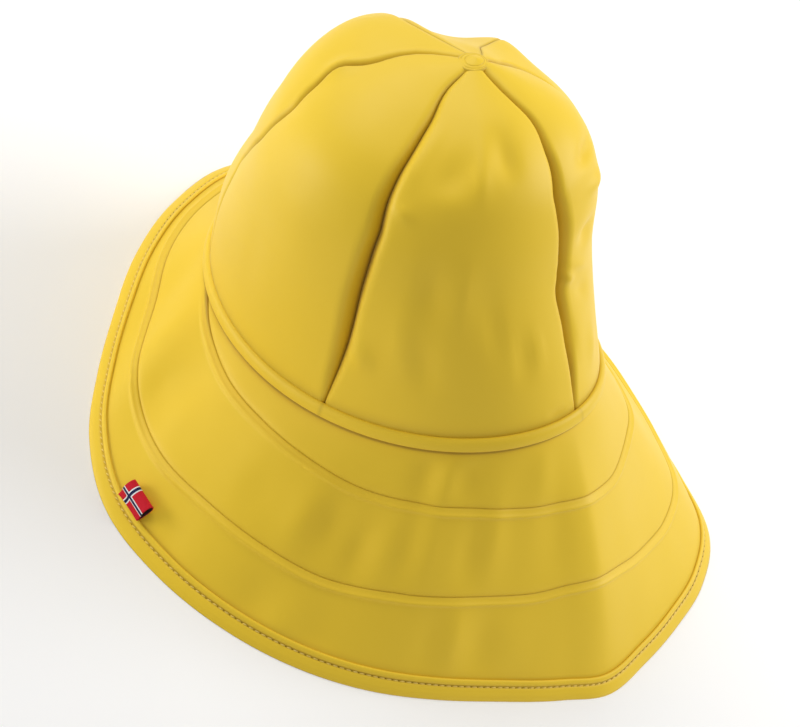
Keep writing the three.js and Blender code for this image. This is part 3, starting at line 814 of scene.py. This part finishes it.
class HAT_OT_button(bpy.types.Operator):
    """Add the soft button on top, with its pressed ring"""

    bl_idname = "hat.button"
    bl_label = "Button"

    def execute(self, context):
        form = hat_form()
        radius, height = outline(BUTTON, BUTTON_POINTS)
        angle = np.linspace(0, 360, BUTTON_ROUND + 1)[:, None]
        places = form.smooth_crown(angle, 1 - BUTTON_SHARE * radius[None, :])
        places = places + height[None, :, None] * form.up_axis
        lines = sum(dark * bell((radius - middle) / wide) for middle, wide, dark in BUTTON_SHADE_LINES["rows"])
        shade = np.broadcast_to(lines, places.shape[:2])
        piece = grid_piece("crown_button_cloth", places, shade=shade, closed=True, flip=True)
        dress(piece, cloth(), "coated_cloth", "crown_button")
        return {"FINISHED"}


class HAT_OT_band(bpy.types.Operator):
    """Add the rolled band whose lower edge overlaps the brim"""

    bl_idname = "hat.band"
    bl_label = "Rolled band"

    def execute(self, context):
        form = hat_form()
        out, level = outline(BAND, BAND_POINTS)
        angle = np.linspace(0, 360, ROUND + 1)[:, None]
        places = form.opening(angle, out[None, :], level[None, :] * form.band)
        joints = sum(JOINT_SHADE * bell(turn_from(middle, angle) / JOINT_WIDE) for middle in BAND_JOINTS)
        shade = np.broadcast_to(joints, places.shape[:2])
        piece = grid_piece("crown_band_cloth", places, shade=shade, closed=True, flip=True)
        dress(piece, cloth(), "coated_cloth", "crown_band")
        return {"FINISHED"}


# Weld between two bands, in mm: the upper band dips to it, the lower one starts in the groove and carries
# a ridge
WELD = {
    "dip": 0.8, "dip_fades": 1.4, "start": 0.9, "start_fades": 0.6, "ridge": 1.0, "ridge_at": 3.8,
    "ridge_wide": 1.1,
}
# Rows of a band in mm: down from its upper edge, up from a lower edge in a weld, and up from the last
# band's lower edge; then its middle's least width and steps, and how far the upper edge and an edge in a
# weld are turned down
BAND_HEAD = (0.0, 0.0, 0.15, 0.4, 0.8, 1.4, 2.2, 3.0, 3.6, 4.1, 4.6, 5.1, 5.7, 6.6, 8.0)
BAND_WELD = (5.0, 3.4, 2.2, 1.4, 0.8, 0.35, 0.0, 0.0)
BAND_LAST = (4.0, 2.0, 0.0)
BAND_LEAST, BAND_STEPS = 2, 11
HEAD_TURN, WELD_TURN = 2.0, 1.5
# Painted shade at the edges of a band: strength at the foot, with the mm that it fades over in a weld's
# groove and by the binding, and strength of the painted shadow under the crown's band at the head, with
# more for each mm that the crown's band covers
FOOT_DARK, WELD_DARK_FADES, BINDING_DARK_FADES = 0.45, 0.35, 0.9
HEAD_DARK, HEAD_DARK_FADES, COVER_DARK = 0.55, 0.4, 0.25
# The inner band is a crescent between these angles. It starts this share of the run inside the opening,
# and no weld comes nearer to the opening. The crown's band covers some mm of the brim, and a weld's ridge is
# full from this many mm below the opening
CRESCENT_END, CRESCENT_STEPS = 131, 319
BRIM_START, COVER, RIDGE_FROM = 0.004, 1.5, 10


def band_rows(start, end, run, ends_in_weld):
    """Distances down the brim, close together at both edges of a band, and how far each is turned down."""
    low = BAND_WELD if ends_in_weld else BAND_LAST
    first, last = start * run, end * run
    scale = np.minimum(1, (last - first) / (BAND_HEAD[-1] + low[0] + BAND_LEAST))
    above, below = first + BAND_HEAD[-1] * scale, last - low[0] * scale
    rows = [first + down * scale for down in BAND_HEAD]
    rows += [above + (below - above) * part for part in np.linspace(0, 1, BAND_STEPS + 1)[1:-1]]
    rows += [last - up * scale for up in low]
    drops = [HEAD_TURN] + [0.0] * (len(rows) - 2) + [WELD_TURN if ends_in_weld else 0.0]
    return rows, drops


def brim_band(form, name, angles, start, end, ridge, cover, ends_in_weld, closed):
    """One band of the brim between two shares of its run, given at each angle."""
    angle = angles[:, None]
    run = form.brim_run(angle)
    rows, drops = band_rows(start[:, None], end[:, None], run, ends_in_weld)
    places, shade = [], []
    for distance, drop in zip(rows, drops):
        down, left = distance - start[:, None] * run, end[:, None] * run - distance
        # Painted shade: dark at the foot in a weld's groove or by the binding, and the shadow of the crown's
        # band at the head
        if ends_in_weld:
            foot = np.exp(-np.maximum(left, 0) / WELD_DARK_FADES)
        else:
            foot = np.exp(-np.abs(run - form.binding - distance) / BINDING_DARK_FADES)
        head = np.exp(-np.maximum(down - cover[:, None], 0) / HEAD_DARK_FADES)
        shade.append(ramp(FOOT_DARK * foot + (HEAD_DARK + COVER_DARK * cover[:, None]) * head)[:, 0])
        lift = ridge[:, None] * WELD["ridge"] * bell((down - WELD["ridge_at"]) / WELD["ridge_wide"])
        lift = lift - ridge[:, None] * WELD["start"] * np.exp(-down / WELD["start_fades"])
        if ends_in_weld:
            lift = lift - WELD["dip"] * np.exp(-left / WELD["dip_fades"])
        places.append(form.brim(angle, distance / run, lift - drop)[:, 0])
    return grid_piece(name, np.stack(places, 1), shade=np.stack(shade, 1), closed=closed)


class HAT_OT_brim(bpy.types.Operator):
    """Add the three bands of the brim, welded to each other"""

    bl_idname = "hat.brim"
    bl_label = "Brim"

    def execute(self, context):
        form = hat_form()
        thickness = context.scene.hat_sizes.cloth_thickness
        turn = np.linspace(-180, 180, ROUND + 1)
        crescent = np.linspace(-CRESCENT_END, CRESCENT_END, CRESCENT_STEPS + 1)
        upper, inner_end = (np.maximum(around(WELDS, "upper", at), BRIM_START) for at in (turn, crescent))
        lower, zero, inner_zero = around(WELDS, "lower", turn), 0 * turn, 0 * crescent
        ridge = ramp(upper * form.brim_run(turn) / RIDGE_FROM)
        covered = inner_zero + COVER
        bands = (
            ("brim_inner", crescent, inner_zero - BRIM_START, inner_end, inner_zero, covered, True, False),
            ("brim_middle", turn, upper, lower, ridge, COVER * (1 - ridge), True, True),
            ("brim_outer", turn, lower, zero + BRIM_END, zero + 1, zero, False, True),
        )
        for node, *band in bands:
            piece = brim_band(form, f"{node}_cloth", *band)
            thicken(piece, thickness)
            dress(piece, cloth(), "coated_cloth", node)
        return {"FINISHED"}


# Binding: how much lighter its cloth is, the points of its section, and in mm the room for the brim between
# its leaves and the painted shade of its stitched groove: strength, place below the upper edge, half-width,
# and the depth that it ends at
BINDING_GAIN, BINDING_POINTS = 1.02, 89
BINDING_ROOM = 2.1
GROOVE_DARK, GROOVE_DOWN, GROOVE_WIDE, GROOVE_DEEPEST = 0.7, 3.3, 0.6, 0.6


def binding_cloth():
    colours = bpy.context.scene.hat_colours
    lighter = [channel * BINDING_GAIN for channel in colours.cloth]
    return coated_cloth("yellow_binding", lighter, colours.cloth_roughness)


class HAT_OT_binding(bpy.types.Operator):
    """Add the strip folded over the brim's edge"""

    bl_idname = "hat.binding"
    bl_label = "Edge binding"

    def execute(self, context):
        form = hat_form()
        wide = form.binding
        inside = 2 * form.leaf + BINDING_ROOM
        section = {
            "columns": ("rise_mm", "depth_mm"),
            "rows": (
                (0.0, 0.45), (1.2, -0.15), (3.2, -0.4), (wide - 6.6, -0.35), (wide - 4.8, -0.15),
                (wide - 4.1, 0.2), (wide - 3.6, 0.5), (wide - 3.1, 0.2), (wide - 2.2, -0.3),
                (wide - 1.1, -0.4), (wide - 0.2, -0.1), (wide + 0.1, 0.5), (wide - 0.1, 1.0),
                (wide - 1.0, 1.3), (wide / 2, 1.9), (wide - 1.0, inside - 0.6), (wide, inside - 0.3),
                (wide, inside + 0.1), (wide - 1, inside + 0.2), (4.0, inside + 0.1), (2.4, inside - 0.2),
                (0.6, inside / 2), (0.0, 0.45),
            ),
        }
        rise, depth = (line[None, :] for line in outline(section, BINDING_POINTS))
        angle = np.linspace(0, 360, ROUND + 1)[:, None]
        edge, up = form.edge(angle), unit(form.opening(angle) - form.edge(angle))
        places = edge + rise[..., None] * up - depth[..., None] * form.brim_normal(angle)
        places[..., 2] = np.maximum(places[..., 2], 0)
        groove = GROOVE_DARK * bell((rise - (wide - GROOVE_DOWN)) / GROOVE_WIDE) * (depth < GROOVE_DEEPEST)
        shade = np.broadcast_to(groove, places.shape[:2])
        piece = grid_piece("edge_binding_strip", places, shade=shade, closed=True)
        dress(piece, binding_cloth(), "binding_tape", "edge_binding")
        return {"FINISHED"}


# Steps that the edge is measured in; stitches: half-length as a share of the pitch, half-width and
# half-height in mm, how deep they sit, and how dark and light their yarn is; dark spots between the
# stitches, painted shade of the groove there: half-sizes in mm, and their two browns
EDGE_STEPS = 2880
STITCH_LONG, STITCH_SIZE, STITCH_SINK = 0.36, (0.36, 0.34), 0.3
YARN_DARK, YARN_LIGHT = 0.85, 1.1
SHADE_SPOT_SIZE = (0.32, 0.3, 0.14)
SHADE_SPOT_DARK, SHADE_SPOT_LIGHT = (0.24, 0.13, 0.006), (0.34, 0.19, 0.01)


class HAT_OT_stitches(bpy.types.Operator):
    """Add the row of stitches along the binding, with spots of painted shade between them"""

    bl_idname = "hat.stitches"
    bl_label = "Binding stitches"

    def execute(self, context):
        form = hat_form()
        sizes = context.scene.hat_sizes
        pitch = sizes.stitch_pitch * MM
        fine = np.linspace(0, 360, EDGE_STEPS + 1)
        walked = walk(form.edge(fine))
        count = int(walked[-1] / pitch)
        angle = np.interp((np.arange(count) + 0.5) * walked[-1] / count, walked, fine)
        edge, normal = form.edge(angle), form.brim_normal(angle)
        up = unit(form.opening(angle) - edge)
        middle = edge + up * (form.binding - sizes.stitch_line * MM) - normal * STITCH_SINK
        along = unit(np.cross(normal, up))
        colours = context.scene.hat_colours
        thread = Finish("stitch_thread", Roughness=0.6, Sheen_Weight=0.2)
        twist = thread.noise(1500.0, detail=1.0)
        dark, light = rgba(colours.thread, YARN_DARK), rgba(colours.thread, YARN_LIGHT)
        thread.set(Base_Color=thread.blend(twist, dark, light))
        # Spots of painted shade between the stitches, where the thread's groove lies in shadow
        gap_shade = Finish("needle_hole", Roughness=0.8)
        gap_shade.set(Base_Color=gap_shade.blend(gap_shade.noise(400.0), rgba(SHADE_SPOT_DARK), rgba(SHADE_SPOT_LIGHT)))
        kinds = (
            ("binding_stitches", thread, 0.0, (pitch * STITCH_LONG, *STITCH_SIZE)),
            ("binding_needle_holes", gap_shade, 0.5 * pitch, SHADE_SPOT_SIZE),
        )
        for name, finish, shift, size in kinds:
            bm = bmesh.new()
            for place, x, z in zip(middle + along * shift, along, normal):
                made = bmesh.ops.create_uvsphere(bm, u_segments=7, v_segments=5, radius=1)
                turn = Matrix((x, np.cross(z, x), z)).transposed().to_4x4()
                place = Matrix.Scale(1 / MM, 4) @ Matrix.Translation(Vector(place)) @ turn
                bmesh.ops.transform(bm, matrix=place @ Matrix.Diagonal((*size, 1)), verts=made["verts"])
            dress(finished(name, bm), finish.material, "binding_tape")
        return {"FINISHED"}


# Label: the tape's thickness in metres, how far above the binding and below the surface it starts, in mm,
# the points along it and across its fold, and the section of its fold
TAPE_THICKNESS, LABEL_ABOVE, LABEL_SINK = 0.0005, 1.0, 0.9
LABEL_ALONG, LABEL_POINTS = 33, 45
LABEL = {
    "columns": ("reach", "height_mm"),
    "rows": (
        (-0.25, 0.3), (0.0, 0.35), (0.4, 0.3), (0.75, 0.8), (0.95, 2.2), (1.0, 4.0), (0.93, 5.6),
        (0.74, 6.5), (0.45, 6.2), (0.2, 4.6), (0.03, 2.3), (-0.25, 0.9),
    ),
}
# Its pattern: the middle of the cross as a share of the length and in cm round the fold, the half-widths in
# cm of the cross with its light edge and of its dark middle, and the weave's waves: radians per mm along,
# radians per cm round, and how dark they are. Then the two near-black colours of the tape's inner side,
# painted shade inside the loop
CM = 10
CROSS_ALONG, CROSS_ROUND = 0.32, 0.58
CROSS_LIGHT, CROSS_DARK = 0.14, 0.075
WARP, WEFT, WEAVE_DARK = 16, 320.0, 0.22
INNER_SHADE_DARK, INNER_SHADE_LIGHT = (0.02, 0.004, 0.006), (0.05, 0.008, 0.01)


class HAT_OT_label(bpy.types.Operator):
    """Add the woven label: a tape folded into a loop, red with a light-edged dark cross"""

    bl_idname = "hat.label"
    bl_label = "Woven label"

    def execute(self, context):
        form = hat_form()
        sizes = context.scene.hat_sizes
        length = sizes.label_length * MM
        rise, height = outline(LABEL, LABEL_POINTS)
        rise = rise * sizes.label_reach * MM
        walked = walk(np.stack([rise, height], -1))
        side = np.linspace(-0.5, 0.5, LABEL_ALONG)
        middle = np.array([math.degrees(sizes.label_angle)])
        edge, normal = form.edge(middle)[0], form.brim_normal(middle)[0]
        along = unit(form.edge(middle - 0.5)[0] - form.edge(middle + 0.5)[0])
        up = unit(np.cross(normal, along))
        slope = unit(form.opening(middle)[0] - edge)
        start = edge + slope * (form.binding + LABEL_ABOVE) - normal * LABEL_SINK
        standing = rise[None, :, None] * up + height[None, :, None] * normal
        places = start + side[:, None, None] * length * along + standing
        uv = np.stack(np.broadcast_arrays(side[:, None] + 0.5, (walked[-1] - walked)[None, :] / CM), -1)
        piece = grid_piece("flag_label_tape", places, uv=uv, flip=True)
        thicken(piece, TAPE_THICKNESS)
        # The wall's inner faces take the second material: painted shade inside the loop
        piece.modifiers["wall"].material_offset = 1
        colours = context.scene.hat_colours
        finish = Finish("woven_flag_tape", Roughness=0.7, Specular_IOR_Level=0.2)
        u, v, _ = finish.parts(finish.uv)
        off = abs((u - CROSS_ALONG) * (length / CM)).least(abs(v - CROSS_ROUND))
        warp, weft = (u * (length * WARP)).wave(), (v * WEFT).wave()
        ground = finish.blend(off < CROSS_LIGHT, rgba(colours.label_ground), rgba(colours.label_edge))
        face = finish.blend(off < CROSS_DARK, ground, rgba(colours.label_cross))
        darker = finish.blend(WEAVE_DARK, face, rgba((0.0, 0.0, 0.0)))
        woven = finish.blend(0.5 + 0.5 * warp * weft, face, darker)
        finish.set(Base_Color=woven, Normal=finish.bump(warp * weft, strength=0.3, distance=0.0002))
        dress(piece, finish.material, "woven_label", "flag_label")
        # Painted shade: the tape's inner side is near black, standing for the shade inside the loop
        inner_shade = Finish("woven_flag_lining", Roughness=0.8)
        inner_shade.set(Base_Color=inner_shade.blend(inner_shade.noise(900.0), rgba(INNER_SHADE_DARK), rgba(INNER_SHADE_LIGHT)))
        piece.data.materials.append(inner_shade.material)
        return {"FINISHED"}


# Floor's half-size in metres, and the camera's sensor in mm
FLOOR_HALF, SENSOR = 6, 36
# Soft lamps: the setting that gives their watts, and their place in metres from the camera's target, along
# the view's right, its up, and back towards the camera
LAMP_SIZE = 0.7
LAMPS = {
    "columns": ("name", "watts", "right", "up", "back"),
    "rows": (
        ("left_softbox", "key", -1.15, 0.3, 0.2),
        ("right_softbox", "fill", 1.15, 0.4, 0.1),
        ("top_softbox", "top", -0.1, 1.15, 0.3),
    ),
}


class HAT_OT_studio(bpy.types.Operator):
    """Add the pale floor, soft lights, white surround and camera"""

    bl_idname = "hat.studio"
    bl_label = "Studio"

    def execute(self, context):
        studio = context.scene.hat_studio
        bm = bmesh.new()
        bmesh.ops.create_grid(bm, x_segments=2, y_segments=2, size=FLOOR_HALF)
        floor = finished("studio_floor", bm)
        finish = Finish("studio_floor", Roughness=0.8)
        pale = context.scene.hat_colours.floor
        finish.set(Base_Color=finish.blend(finish.noise(2.0), rgba(pale, 0.985), rgba(pale)))
        floor.data.materials.append(finish.material)

        a, e, r = studio.azimuth, studio.elevation, studio.roll
        back = Vector((math.sin(a) * math.cos(e), -math.cos(a) * math.cos(e), math.sin(e)))
        level = Vector((math.cos(a), math.sin(a), 0))
        rise = back.cross(level)
        right = level * math.cos(r) - rise * math.sin(r)
        up = level * math.sin(r) + rise * math.cos(r)
        aim = Vector(studio.target)
        camera = bpy.data.objects.new("camera", bpy.data.cameras.new("camera"))
        camera.data.lens = studio.focal
        camera.data.sensor_width = SENSOR
        camera.matrix_world = Matrix.Translation(aim + back * studio.distance) @ Matrix(
            (right, up, back)).transposed().to_4x4()
        bpy.context.collection.objects.link(camera)
        context.scene.camera = camera

        for name, watts, x, y, z in LAMPS["rows"]:
            lamp = bpy.data.lights.new(name, "AREA")
            lamp.shape, lamp.size, lamp.energy = "DISK", LAMP_SIZE, getattr(studio, watts)
            light = bpy.data.objects.new(name, lamp)
            light.location = aim + right * x + up * y + back * z
            light.rotation_euler = (light.location - aim).to_track_quat("Z", "Y").to_euler()
            bpy.context.collection.objects.link(light)

        world = bpy.data.worlds.new("surround")
        world.use_nodes = True
        surround = world.node_tree.nodes["Background"]
        surround.inputs["Color"].default_value = (1, 1, 1, 1)
        surround.inputs["Strength"].default_value = studio.sky
        context.scene.world = world
        context.scene.view_settings.view_transform = "Standard"
        return {"FINISHED"}


class HAT_PT_sidebar(bpy.types.Panel):
    bl_label = "Sou'wester hat"
    bl_idname = "HAT_PT_sidebar"
    bl_space_type = "VIEW_3D"
    bl_region_type = "UI"
    bl_category = "Hat"

    def draw(self, context):
        for group in (context.scene.hat_sizes, context.scene.hat_colours, context.scene.hat_studio):
            box = self.layout.box()
            for key in group.bl_rna.properties.keys():
                if key not in {"rna_type", "name"}:
                    box.prop(group, key)
        for operator in OPERATORS:
            self.layout.operator(operator.bl_idname)


GROUPS = (HatSizes, HatColours, HatStudio)
OPERATORS = (
    HAT_OT_crown_panels, HAT_OT_button, HAT_OT_band, HAT_OT_brim, HAT_OT_binding, HAT_OT_stitches,
    HAT_OT_label, HAT_OT_studio,
)


def register():
    for cls in (*GROUPS, *OPERATORS, HAT_PT_sidebar):
        bpy.utils.register_class(cls)
    bpy.types.Scene.hat_sizes = bpy.props.PointerProperty(type=HatSizes)
    bpy.types.Scene.hat_colours = bpy.props.PointerProperty(type=HatColours)
    bpy.types.Scene.hat_studio = bpy.props.PointerProperty(type=HatStudio)


def unregister():
    del bpy.types.Scene.hat_sizes
    del bpy.types.Scene.hat_colours
    del bpy.types.Scene.hat_studio
    for cls in reversed((*GROUPS, *OPERATORS, HAT_PT_sidebar)):
        bpy.utils.unregister_class(cls)


def main():
    register()
    for operator in OPERATORS:
        group, name = operator.bl_idname.split(".")
        getattr(getattr(bpy.ops, group), name)()
    bpy.context.view_layer.update()


if __name__ == "__main__":
    main()
